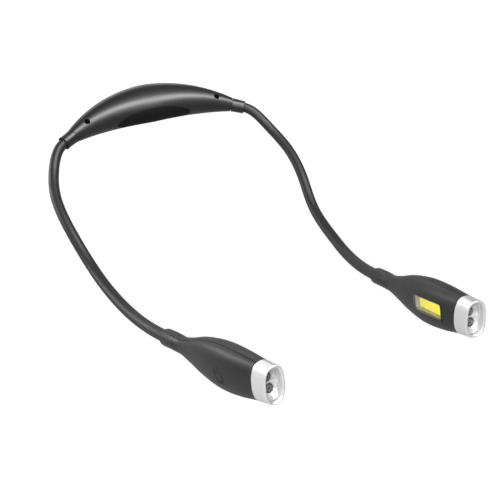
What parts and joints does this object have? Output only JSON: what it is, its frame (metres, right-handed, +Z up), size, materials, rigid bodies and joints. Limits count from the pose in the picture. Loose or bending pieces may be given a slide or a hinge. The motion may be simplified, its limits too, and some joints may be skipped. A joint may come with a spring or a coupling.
{
  "type": "neck reading light",
  "caption": "Hands-free reading light worn round the neck: arched housing, flexible arms, lamp heads with spot and strip LEDs.",
  "frame": {"origin": "middle of the oval pad in the hollow of the neck housing's arch, where the light rests against the back of the neck", "axes": "+Z up as worn, +Y from the lamp heads back to the neck housing, +X to the right seen from the lamp heads"},
  "size_m": [0.205, 0.3693, 0.1125],
  "materials": {
    "housing_black": "semi-gloss black moulded plastic",
    "pad_black": "dead matte black soft-touch skin",
    "sleeve_grey": "matte dark grey rubber sleeve",
    "head_black": "matte soft-touch black plastic",
    "bezel_silver": "satin silver",
    "reflector_chrome": "bright metallised plastic",
    "clear_plastic": "clear moulded plastic",
    "led_resin": "clear LED resin",
    "strip_phosphor": "yellow LED phosphor gel",
    "board_white": "white solder mask",
    "board_green": "green solder mask",
    "steel": "plated steel",
    "screw_black": "blackened steel",
    "cell_wrap": "printed cell wrap, left plain",
    "switch_black": "moulded switch body"
  },
  "bodies": {
    "neck_housing": {"housing_front_shell": "housing_black", "housing_back_shell": "housing_black", "upper_battery": "cell_wrap", "lower_battery": "cell_wrap", "rear_battery": "cell_wrap", "left_housing_screw": "screw_black", "left_housing_collar": "housing_black", "left_battery_contact": "steel", "left_arm_anchor": "steel", "left_arm_root_sleeve": "sleeve_grey", "right_housing_screw": "screw_black", "right_housing_collar": "housing_black", "right_battery_contact": "steel", "right_arm_anchor": "steel", "right_arm_root_sleeve": "sleeve_grey"},
    "battery_door": {"battery_door": "pad_black"},
    "left_arm_link_1": {"left_arm_sleeve_1": "sleeve_grey"},
    "left_arm_link_2": {"left_arm_sleeve_2": "sleeve_grey"},
    "left_arm_link_3": {"left_arm_sleeve_3": "sleeve_grey"},
    "left_arm_link_4": {"left_arm_sleeve_4": "sleeve_grey"},
    "left_head": {"left_head_collar": "head_black", "left_head_outer_shell": "head_black", "left_head_inner_shell": "head_black", "left_bezel": "bezel_silver", "left_reflector": "reflector_chrome", "left_spot_lens": "clear_plastic", "left_strip_window": "clear_plastic", "left_led_board": "board_white", "left_strip_board": "board_white", "left_switch_board": "board_green", "left_tactile_switch": "switch_black", "left_upper_led": "led_resin", "left_lower_led": "led_resin", "left_strip_phosphor": "strip_phosphor", "left_arm_head_sleeve": "sleeve_grey"},
    "left_power_button": {"left_power_button": "head_black"},
    "right_arm_link_1": {"right_arm_sleeve_1": "sleeve_grey"},
    "right_arm_link_2": {"right_arm_sleeve_2": "sleeve_grey"},
    "right_arm_link_3": {"right_arm_sleeve_3": "sleeve_grey"},
    "right_arm_link_4": {"right_arm_sleeve_4": "sleeve_grey"},
    "right_head": {"right_head_collar": "head_black", "right_head_outer_shell": "head_black", "right_head_inner_shell": "head_black", "right_bezel": "bezel_silver", "right_reflector": "reflector_chrome", "right_spot_lens": "clear_plastic", "right_strip_window": "clear_plastic", "right_led_board": "board_white", "right_strip_board": "board_white", "right_switch_board": "board_green", "right_tactile_switch": "switch_black", "right_upper_led": "led_resin", "right_lower_led": "led_resin", "right_strip_phosphor": "strip_phosphor", "right_arm_head_sleeve": "sleeve_grey"},
    "right_power_button": {"right_power_button": "head_black"}
  },
  "joints": [
    {"name": "battery_door_lift_off", "type": "slide", "parent": "neck_housing", "child": "battery_door", "axis": [0, -0.8241, -0.5664], "range_m": [0, 0.03]},
    {"name": "left_arm_spread", "type": "hinge", "parent": "neck_housing", "child": "left_arm_link_1", "pos_m": [-0.08742, -0.01308, -0.0117], "axis": [0, 0, -1], "range_deg": [-3, 40]},
    {"name": "left_arm_lift", "type": "hinge", "parent": "left_arm_link_1", "child": "left_arm_link_2", "pos_m": [-0.09746, -0.03733, -0.03152], "axis": [-1, 0, 0], "range_deg": [-30, 40]},
    {"name": "left_arm_bend", "type": "hinge", "parent": "left_arm_link_2", "child": "left_arm_link_3", "pos_m": [-0.09268, -0.09206, -0.06831], "axis": [0, 0, -1], "range_deg": [-2, 35]},
    {"name": "left_head_tilt", "type": "hinge", "parent": "left_arm_link_3", "child": "left_arm_link_4", "pos_m": [-0.08495, -0.15333, -0.08382], "axis": [-1, 0, 0], "range_deg": [-40, 40]},
    {"name": "left_head_turn", "type": "hinge", "parent": "left_arm_link_4", "child": "left_head", "pos_m": [-0.08012, -0.18854, -0.08302], "axis": [0, 0, -1], "range_deg": [-7, 40]},
    {"name": "left_button_press", "type": "slide", "parent": "left_head", "child": "left_power_button", "axis": [0.9921, 0.1242, 0.0188], "range_m": [0, 0.0006], "stiffness_N_per_m": 600, "springref_m": -0.0008},
    {"name": "right_arm_spread", "type": "hinge", "parent": "neck_housing", "child": "right_arm_link_1", "pos_m": [0.08742, -0.01308, -0.0117], "axis": [0, 0, 1], "range_deg": [-3, 40]},
    {"name": "right_arm_lift", "type": "hinge", "parent": "right_arm_link_1", "child": "right_arm_link_2", "pos_m": [0.09746, -0.03733, -0.03152], "axis": [-1, 0, 0], "range_deg": [-30, 40]},
    {"name": "right_arm_bend", "type": "hinge", "parent": "right_arm_link_2", "child": "right_arm_link_3", "pos_m": [0.09268, -0.09206, -0.06831], "axis": [0, 0, 1], "range_deg": [-2, 35]},
    {"name": "right_head_tilt", "type": "hinge", "parent": "right_arm_link_3", "child": "right_arm_link_4", "pos_m": [0.08495, -0.15333, -0.08382], "axis": [-1, 0, 0], "range_deg": [-40, 40]},
    {"name": "right_head_turn", "type": "hinge", "parent": "right_arm_link_4", "child": "right_head", "pos_m": [0.08012, -0.18854, -0.08302], "axis": [0, 0, 1], "range_deg": [-7, 40]},
    {"name": "right_button_press", "type": "slide", "parent": "right_head", "child": "right_power_button", "axis": [-0.9921, 0.1242, 0.0188], "range_m": [0, 0.0006], "stiffness_N_per_m": 600, "springref_m": -0.0008}
  ]
}
